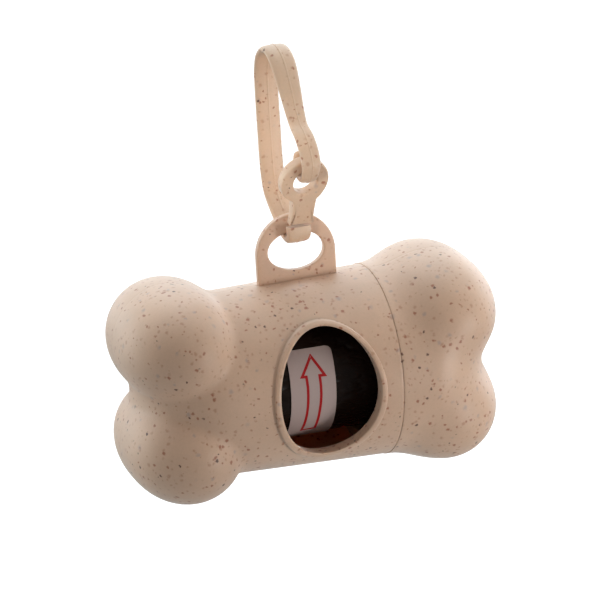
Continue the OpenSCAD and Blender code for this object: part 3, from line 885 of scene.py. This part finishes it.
def plastic_material(name, base, look, amount=1.0, sheen=0.28, glow=None, radius=PALE_DEPTH, depth=1.0):
    """The flecked bioplastic; depth is the scale of the radius in mm."""
    material, tree, shader, coords = empty_material(name)
    group = bpy.data.node_groups.get("flecked bioplastic") or fleck_group()
    flecks = add(tree, "ShaderNodeGroup", {
        "Vector": coords, "Base": rgba(base), "Dark": rgba(look.dark), "Red": rgba(look.red),
        "Stain": rgba(look.blue), "Amount": amount, "Roughness": look.roughness}, node_tree=group)
    fill(tree, shader, {
        "Base Color": flecks.outputs["Color"], "Roughness": flecks.outputs["Roughness"], "IOR": 1.47,
        "Sheen Weight": sheen, "Sheen Roughness": 0.35, "Subsurface Radius": radius,
        "Subsurface Scale": depth * MM, "Subsurface Weight": look.glow if glow is None else glow})
    bumped(tree, shader, flecks.outputs["Height"], 0.035 * MM, 0.6)
    return material


def film_material(look):
    """Thin black film: glossy, with fine wrinkles between its creases."""
    material, tree, shader, coords = empty_material("black bag film")
    stretched = add(tree, "ShaderNodeMapping", {"Vector": coords, "Scale": (0.45, 1.0, 1.0)}).outputs[0]
    fine = noise_at(tree, stretched, 0.8 * MM, detail=4.0, roughness=0.62)
    broad = noise_at(tree, stretched, 3.2 * MM)
    ridges = calc(tree, "ABSOLUTE", calc(tree, "SUBTRACT", broad, 0.5))
    height = calc(tree, "ADD", calc(tree, "MULTIPLY", fine, 0.35), calc(tree, "MULTIPLY", ridges, 1.4))
    fill(tree, shader, {
        "Base Color": toned(tree, rgba(look.film), ranged(tree, fine, 0.0, 1.0, 0.6, 1.5)),
        "Roughness": ranged(tree, broad, 0.0, 1.0, 0.18, 0.36), "Specular IOR Level": 0.09})
    bumped(tree, shader, height, 0.45 * MM)
    return material


def paper_material(name, base, spread, size):
    """Fibrous sheet or board: the colour and height wander a little."""
    material, tree, shader, coords = empty_material(name)
    fibre = noise_at(tree, coords, size, detail=4.0, roughness=0.65)
    fill(tree, shader, {
        "Base Color": toned(tree, rgba(base), ranged(tree, fibre, 0.25, 0.75, 1 - spread, 1 + spread)),
        "Roughness": ranged(tree, fibre, 0.0, 1.0, 0.55, 0.75), "Specular IOR Level": 0.2})
    bumped(tree, shader, fibre, 0.02 * MM, 0.5)
    return material


def finish_named(name):
    """The material of that name, made from the settings when it is first asked for."""
    found = bpy.data.materials.get(name)
    if found:
        return found
    scene = bpy.context.scene
    look, roll = scene.bag_holder_plastic, scene.bag_holder_roll_look
    makers = {
        "flecked shell": lambda: plastic_material(name, look.shell, look),
        # The clip's lighter colour is painted light.
        "flecked clip": lambda: plastic_material(name, look.clip, look, amount=0.85, sheen=0.45),
        # The lining and the inner parts take the inner colour, darkened and warmed as painted shade.
        "flecked lining": lambda: plastic_material(name, look.inner, look, glow=0.9, radius=LINING_DEPTH,
                                                   depth=3.0),
        "flecked inner": lambda: plastic_material(name, look.inner, look, glow=0.0),
        "black bag film": lambda: film_material(roll),
        "label paper": lambda: paper_material(name, roll.paper, 0.02, 0.6 * MM),
        "red print": lambda: paper_material(name, roll.ink, 0.10, 0.3 * MM),
        "brown cardboard": lambda: paper_material(name, roll.card, 0.16, 0.5 * MM),
    }
    return makers[name]()


# ---- the pieces ----


class BodyShells(bpy.types.Operator):
    """Builds the two half shells of the body, with the mouth's lip and the hanging tab"""

    bl_idname = "bag_holder.body_shells"
    bl_label = "Body shells"

    def execute(self, context):
        scene = context.scene
        bone, mouth, tab = scene.bag_holder_bone, scene.bag_holder_mouth, scene.bag_holder_tab
        finish = finish_named("flecked shell")

        def inner_skin(at):
            """Whether a point lies on the wall's inner side, to within the mesh's sag."""
            return np.abs(bone_gap(bone, at, -1) + bone.wall) < 0.12 * MM

        # The wall's inner side gets the inner colour, darker and warmer than the shell: painted shade.
        lining = (finish_named("flecked lining"), inner_skin)
        front = together([half_shell(bone, -1, mouth), mouth_lip(bone, mouth), half_tab(bone, tab)])
        rear_points, rear_faces = together([half_shell(bone, -1), half_tab(bone, tab)])
        mesh_piece("body_front", front, finish, "housing", ["body_front_shell"],
                   lining=lining)
        mesh_piece("body_rear", (rear_points * [1, -1, 1], rear_faces), finish,
                   "housing", ["body_rear_shell"], lining=lining)
        return {"FINISHED"}


class CapShells(bpy.types.Operator):
    """Builds the two half shells of the screw cap"""

    bl_idname = "bag_holder.cap_shells"
    bl_label = "Cap shells"

    def execute(self, context):
        bone = context.scene.bag_holder_bone
        points, faces = half_shell(bone, 1)
        finish = finish_named("flecked shell")
        for name, node, flip in (("cap_front", "cap_front_shell", 1), ("cap_rear", "cap_rear_shell", -1)):
            turned = turned_x(points * [1, flip, 1], bone.cap_set)
            mesh_piece(name, (turned, faces), finish, "cap", [node])
        return {"FINISHED"}


def ridge_height(thread, x, turn):
    """Height of the ridges at places along X and angles round the axis."""
    pitch = thread.lead / thread.starts
    off = (x - thread.lead * turn / (2 * math.pi) + pitch / 2) % pitch - pitch / 2
    slope = np.clip((thread.half_width - np.abs(off)) / (0.5 * thread.half_width), 0, 1)
    return thread.ridge * slope * slope * (3 - 2 * slope)


class NeckAndLiner(bpy.types.Operator):
    """Builds the threaded neck, the cap's liner with its peg, and the thread inside the liner"""

    bl_idname = "bag_holder.neck_and_liner"
    bl_label = "Neck and liner"

    def execute(self, context):
        scene = context.scene
        bone, thread = scene.bag_holder_bone, scene.bag_holder_thread
        for name, part, body, replaced in (
                ("neck", self.neck(bone, thread, scene.bag_holder_mouth), "housing", ["neck_ring"]),
                ("liner", self.liner(bone, thread), "cap_carrier", ["cap_liner"]),
                ("liner_thread", self.liner_thread(bone, thread), "cap", [])):
            mesh_piece(name, part, finish_named("flecked inner"), body, replaced)
        return {"FINISHED"}

    def neck(self, bone, thread, mouth):
        """A sleeve held in the barrel behind the lip, with ridges on the part that stands out."""
        turns, soft = 240, 0.2 * MM
        start, end = mouth.width / 2 - mouth.offset + mouth.lip, thread.neck_end
        bore, held = thread.neck_bore, barrel_radius(bone, start) - bone.wall - 0.1 * MM
        x = np.linspace(end - 0.15 * MM, bone.seam, 70)
        fade = (np.clip((end - 0.5 * MM - x) / (1.2 * MM), 0, 1)
                * np.clip((x - bone.seam - 0.5 * MM) / (0.8 * MM), 0, 1))
        ridges = thread.root + fade * ridge_height(thread, x[None], all_round(turns)[:, None])
        inside = [(start, bore + soft), (start + soft, bore), (end - 1.5 * soft, bore),
                  (end, bore + 1.5 * soft), (end, thread.root - soft)]
        outside = [(bone.seam, held - soft), (bone.seam - soft, held), (start + soft, held),
                   (start, held - soft)]
        return closed_loop(lathe(np.concatenate([
            each_turn(inside, turns), beside(x, ridges), each_turn(outside, turns)], 1)))

    def liner(self, bone, thread):
        """The sleeve over the neck, stepped in to a cup whose floor carries the peg."""
        start, step = bone.seam + 0.1 * MM, thread.neck_end + 0.3 * MM
        floor, back = thread.cap_floor, thread.cap_floor + thread.floor
        peg_from, axis = thread.cap_floor - thread.peg, 0.02 * MM
        outline = eased([
            (start, thread.liner_bore), (step, thread.liner_bore), (step, thread.cup_bore),
            (floor, thread.cup_bore), (floor, thread.peg_radius), (peg_from, thread.peg_radius),
            (peg_from, axis), (back, axis), (back, thread.cup_radius),
            (step + thread.floor, thread.cup_radius), (step + thread.floor, thread.liner_radius),
            (start, thread.liner_radius)], 0.25 * MM)
        return closed_loop(lathe(each_turn(outline, 180)))

    def liner_thread(self, bone, thread):
        """Two ridges that run in the neck's grooves and turn with the cap."""
        t, long = np.linspace(0, 1, 90), 0.62          # turns that a ridge is long
        pitch, parts = thread.lead / thread.starts, []
        for start in range(thread.starts):
            turn = 2 * math.pi * (long * t + start / thread.starts)
            x = bone.seam + 1.5 * MM + thread.lead * long * t
            x += pitch / 2 - (x - thread.lead * turn / (2 * math.pi)) % pitch
            grow = np.clip(np.minimum(t, 1 - t) / 0.06, 0.02, 1)
            corners = []
            for along, up in ((-0.38, 0), (0.38, 0), (0.22, 0.42), (-0.22, 0.42)):
                r = thread.liner_bore + 0.1 * MM - up * MM * grow
                corners.append(beside(x + along * MM * grow, r * np.cos(turn), r * np.sin(turn)))
            parts.append(capped_sweep(np.stack(corners, 1)))
        return together(parts)


UNDER_PAPER = 0.045 * MM   # between the roll's round form and the label

# The arrow's outline: along X and above the roll's front, in mm, from the tip down the left side.
ARROW = np.array([
    (-1.87, 6.42), (-4.27, 2.60), (-3.40, 2.52), (-3.27, 0.5), (-3.28, -1.4), (-3.32, -3.4),
    (-3.42, -5.5), (-3.60, -8.0), (-3.82, -10.8), (-1.06, -10.65), (-0.92, -8.0), (-0.80, -5.5),
    (-0.66, -3.4), (-0.56, -1.4), (-0.56, 0.55), (-0.64, 2.40), (0.42, 2.35)]) * MM


def on_roll(height, x, arc):
    """Points over the roll's surface from their place along X and the arc above the front."""
    radius, turn = ROLL_RADIUS + height, arc / ROLL_RADIUS
    return beside(x, -radius * np.cos(turn), radius * np.sin(turn))


class RollOfBags(bpy.types.Operator):
    """Builds the roll of black bags with its paper label and the printed arrow"""

    bl_idname = "bag_holder.roll_of_bags"
    bl_label = "Roll of bags"

    def execute(self, context):
        roll = context.scene.bag_holder_roll
        mesh_piece("bag_film", self.film(roll), finish_named("black bag film"), "roll",
                   ["bag_roll"], sharp_from=60)
        mesh_piece("paper_label", self.label(roll), finish_named("label paper"), "roll",
                   ["roll_label"])
        mesh_piece("printed_arrow", self.arrow(roll), finish_named("red print"), "roll")
        return {"FINISHED"}

    def film(self, roll):
        """The outer film is creased, and the ends show its layers.

        The creases have two sizes, each about twice as long along the roll as round it.
        """
        turns, rows, layers = 400, 190, 26
        x = np.linspace(ROLL_FROM + 0.25 * MM, ROLL_TO - 0.25 * MM, rows)
        angles = all_round(turns)
        fold = np.zeros((turns, rows))
        for i, turn in enumerate(angles):
            y, z = ROLL_RADIUS * math.cos(turn), ROLL_RADIUS * math.sin(turn)
            for j, at in enumerate(x):
                fine = noise.noise(Vector((at * 260, y * 520, z * 520)))
                broad = noise.noise(Vector((at * 110 + 3, y * 210, z * 210)))
                fold[i, j] = min(abs(fine) + 0.9 * abs(broad), 1.0)
        outer = ROLL_RADIUS - 0.015 * MM - roll.crease * (1 - fold) ** 5
        depth = np.linspace(0, 1, layers)
        bore = CORE_RADIUS + 0.04 * MM
        radii = ROLL_RADIUS - 0.3 * MM - depth * (ROLL_RADIUS - bore - 0.3 * MM)
        spiral = np.sin(2 * math.pi * (depth[None] * 9 + angles[:, None] / (2 * math.pi)))
        ragged = np.array([[noise.noise(Vector((r * 900, math.cos(a) * 4, math.sin(a) * 4))) for r in radii]
                           for a in angles])
        dip = np.maximum(0.10 * MM * (1 + 0.6 * spiral + 0.8 * ragged), 0)
        return closed_loop(lathe(np.concatenate([
            beside(x, outer), beside(ROLL_TO - dip, radii), beside(ROLL_FROM + dip, radii)[:, ::-1]], 1)))

    def label(self, roll):
        """A strip of paper round the roll with rounded corners, its long edges lifted a little."""
        top = roll.label_top * ROLL_RADIUS
        arc = np.linspace(top, top - roll.label_length, 141)
        short = np.minimum(top - arc, arc - (top - roll.label_length))
        c = roll.label_corner
        inset = np.where(short < c, c - np.sqrt(np.maximum(c * c - (c - short) ** 2, 0)), 0)
        across = np.linspace(-1, 1, 31)
        x = -roll.label_offset + (roll.label_width / 2 - inset)[:, None] * across
        lift = UNDER_PAPER + 0.05 * MM * np.abs(across) ** 6
        outer, inner = (on_roll(lift + over, x, arc[:, None]).reshape(-1, 3) for over in (roll.paper, 0))
        return thick_skin(outer, inner, grid_faces(*x.shape))

    def arrow(self, roll):
        """A plain outlined arrow that points the way the bags are pulled."""
        along = np.roll(ARROW, -1, 0) - ARROW
        along /= np.linalg.norm(along, axis=1)[:, None]
        side = beside(along[:, 1], -along[:, 0])
        before = np.roll(side, 1, 0)
        mitre = (side + before) / (1 + (side * before).sum(1))[:, None] * roll.ink / 2
        steps = np.linspace(0, 1, 16, endpoint=False)[:, None]
        rings = []
        for edge, ups in ((ARROW + mitre, (-0.01, 0.012)), (ARROW - mitre, (0.012, -0.01))):
            line = np.concatenate([a + (b - a) * steps for a, b in zip(edge, np.roll(edge, -1, 0))])
            rings += [on_roll(UNDER_PAPER + roll.paper + up * MM, *line.T) for up in ups]
        return closed_loop(np.stack(rings, 1))


class InnerParts(bpy.types.Operator):
    """Gives the end wall with its peg and the cardboard core their finish"""

    bl_idname = "bag_holder.inner_parts"
    bl_label = "Inner parts"

    def execute(self, context):
        for node, finish in (("end_spigot", "flecked inner"), ("roll_core", "brown cardboard")):
            piece = frame["nodes"][node]
            if not piece.material_slots:
                piece.data.materials.append(None)
            for place in piece.material_slots:
                place.material = finish_named(finish)
        return {"FINISHED"}


class StrapClip(bpy.types.Operator):
    """Builds the strap clip: hook and upper strap, back strap, and foot with stem and ring"""

    bl_idname = "bag_holder.strap_clip"
    bl_label = "Strap clip"

    def execute(self, context):
        clip = context.scene.bag_holder_clip
        finish = finish_named("flecked clip")
        rings, line = strap_rings(clip)
        back = np.where(line[:, 0] > 8.0 * MM)[0]
        low = next(k for k in back if line[k, 1] >= clip.bend_to)
        high = next(k for k in back if line[k, 1] >= clip.bend_from)
        rings = yawed(clip, rings)
        stem, stem_faces = ring_and_stem(clip)
        mesh_piece("clip_hook", capped_sweep(rings[high:]), finish, "clip", ["clip_loop"])
        foot = together([capped_sweep(rings[:low + 1]), (yawed(clip, stem), stem_faces)])
        mesh_piece("clip_foot", foot, finish, "clip_lower", ["clip_base"])
        spine = mesh_piece("clip_spine", capped_sweep(rings[low:high + 1]), finish)
        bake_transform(spine)
        return {"FINISHED"}


# ---- stage ----


def aimed(name, data, at, target, up):
    """An object at a place, looking along its -Z at the target, both given from the barrel's axis."""
    made, at, target = placed(name, data), Vector(at) + Vector(AXIS_AT), Vector(target) + Vector(AXIS_AT)
    back = (at - target).normalized()
    right = Vector(up).cross(back).normalized()
    over = back.cross(right)
    made.matrix_world = Matrix.Translation(at) @ Matrix((right, over, back)).transposed().to_4x4()
    return made


CAMERA_AT = Vector((-0.1451, -0.4540, 0.1512))
CAMERA_ROLL = math.radians(3.534)
PICTURE_MIDDLE = (-0.000496, 0.01396)      # right of the barrel's axis and above it, as the camera sees it

# Name, property that holds the power, colour, place, target, size and spread in degrees.
LAMPS = (
    ("left lamp", "side_watts", (0.90, 1.0, 0.98), (-0.34, 0.26, 0.04), (0, 0, 0), 0.34, 180),
    ("right lamp", "side_watts", (0.84, 0.94, 1.0), (0.38, 0.20, 0.06), (0, 0, 0), 0.34, 180),
    ("top lamp", "top_watts", (0.80, 0.92, 1.0), (0.05, 0.25, 0.40), (0, 0, 0), 0.40, 180),
    ("cap lamp", "cap_watts", (1, 1, 1), (0.23, -0.22, -0.05), (0.056, -0.01, 0.002), 0.14, 23),
    ("clip lamp", "clip_watts", (1, 1, 1), (-0.22, -0.22, 0.10), (0, 0, 0.044), 0.03, 9),
)


class Stage(bpy.types.Operator):
    """Sets the camera, the soft lamps, the pale floor and the white surroundings"""

    bl_idname = "bag_holder.stage"
    bl_label = "Stage"

    def execute(self, context):
        look = context.scene.bag_holder_stage
        self.camera(context, look)
        self.lamps(look)
        self.floor(look)
        self.surroundings(context, look)
        context.scene.view_settings.view_transform = "Standard"
        return {"FINISHED"}

    def camera(self, context, look):
        """The camera stands about half a metre in front of the holder, left of it and above."""
        towards = -CAMERA_AT.normalized()
        level = towards.cross(Vector((0, 0, 1))).normalized()
        right = math.cos(CAMERA_ROLL) * level - math.sin(CAMERA_ROLL) * level.cross(towards)
        up = right.cross(towards)
        target = PICTURE_MIDDLE[1] * up + PICTURE_MIDDLE[0] * right
        data = bpy.data.cameras.new("camera")
        data.sensor_width = 36.0
        data.lens = look.lens * 1000
        data.clip_start, data.clip_end = 0.01, 20.0
        context.scene.camera = aimed("camera", data, CAMERA_AT, target, up)

    def lamps(self, look):
        """Soft boxes beside and over the holder, a soft one for the cap and a narrow one for the clip."""
        for name, watts, tint, place, target, size, spread in LAMPS:
            data = bpy.data.lights.new(name, "AREA")
            data.shape = "SQUARE"
            data.size = size
            data.spread = math.radians(spread)
            data.energy = getattr(look, watts)
            data.color = tint
            aimed(name, data, place, target, (0, 0.1, 1)).visible_camera = False

    def floor(self, look):
        """A wide pale floor, far enough under the hanging holder for a faint shadow."""
        z, far = AXIS_AT[2] - look.floor_drop, 6.0
        mesh = bpy.data.meshes.new("floor")
        corners = [(-far, -far, z), (far, -far, z), (far, far, z), (-far, far, z)]
        mesh.from_pydata(corners, [], [(0, 1, 2, 3)])
        floor = placed("floor", mesh)
        material, tree, shader, coords = empty_material("pale floor")
        seen = tree.nodes.new("ShaderNodeLightPath").outputs["Is Camera Ray"]
        fill(tree, shader, {
            "Base Color": grey(tree, ranged(tree, noise_at(tree, coords, 0.08), 0.0, 1.0, 0.38, 0.42)),
            "Roughness": 0.9, "Specular IOR Level": 0.1, "Emission Color": (1, 1, 1, 1),
            "Emission Strength": calc(tree, "MULTIPLY", seen, 0.85)})
        mesh.materials.append(material)

    def surroundings(self, context, look):
        """White to the camera; as light, dim in front of the holder and bright behind and above it."""
        world = bpy.data.worlds.new("white studio")
        context.scene.world = world
        world.use_nodes = True
        tree = world.node_tree
        tree.nodes.clear()
        way = tree.nodes.new("ShaderNodeTexCoord").outputs["Generated"]
        path = tree.nodes.new("ShaderNodeLightPath").outputs
        parts = add(tree, "ShaderNodeSeparateXYZ", {"Vector": way}).outputs
        x, y, z = (calc(tree, "MULTIPLY", parts[axis], weight)
                   for axis, weight in (("X", 0.29), ("Y", 0.91), ("Z", 0.40)))
        lean = calc(tree, "ADD", y, calc(tree, "ADD", x, z))
        level = ranged(tree, lean, -0.30, 0.45, look.front_level, look.back_level, smooth=True)
        behind = ranged(tree, lean, -0.30, 0.45, 0.0, 1.0)
        shine = ranged(tree, path["Is Glossy Ray"], 0.0, 1.0, 1.0, 1.6)
        light = add(tree, "ShaderNodeBackground", {
            "Color": mixed(tree, behind, (1.0, 0.96, 0.91, 1), (0.82, 0.93, 1.0, 1)),
            "Strength": calc(tree, "MULTIPLY", level, shine)}).outputs[0]
        white = add(tree, "ShaderNodeBackground", {"Color": (1, 1, 1, 1), "Strength": 1.0}).outputs[0]
        both = add(tree, "ShaderNodeMixShader", {0: path["Is Camera Ray"], 1: light, 2: white})
        add(tree, "ShaderNodeOutputWorld", {0: both.outputs[0]})


class BagHolderPanel(bpy.types.Panel):
    """The buttons that build the holder, piece by piece"""

    bl_idname = "VIEW3D_PT_bag_holder"
    bl_label = "Bag holder"
    bl_space_type = "VIEW_3D"
    bl_region_type = "UI"
    bl_category = "Bag holder"

    def draw(self, context):
        for operator in OPERATORS:
            self.layout.operator(operator.bl_idname)


OPERATORS = (BodyShells, CapShells, NeckAndLiner, InnerParts, RollOfBags, StrapClip, Stage)
CLASSES = (*SETTINGS.values(), *OPERATORS, BagHolderPanel)


def register():
    for cls in CLASSES:
        bpy.utils.register_class(cls)
    for name, group in SETTINGS.items():
        setattr(bpy.types.Scene, name, PointerProperty(type=group))


def unregister():
    for name in SETTINGS:
        delattr(bpy.types.Scene, name)
    for cls in reversed(CLASSES):
        bpy.utils.unregister_class(cls)


def main():
    """Builds everything in order."""
    register()
    bpy.ops.bag_holder.body_shells()
    bpy.ops.bag_holder.cap_shells()
    bpy.ops.bag_holder.neck_and_liner()
    bpy.ops.bag_holder.inner_parts()
    bpy.ops.bag_holder.roll_of_bags()
    bpy.ops.bag_holder.strap_clip()
    bpy.ops.bag_holder.stage()


if __name__ == "__main__":
    main()
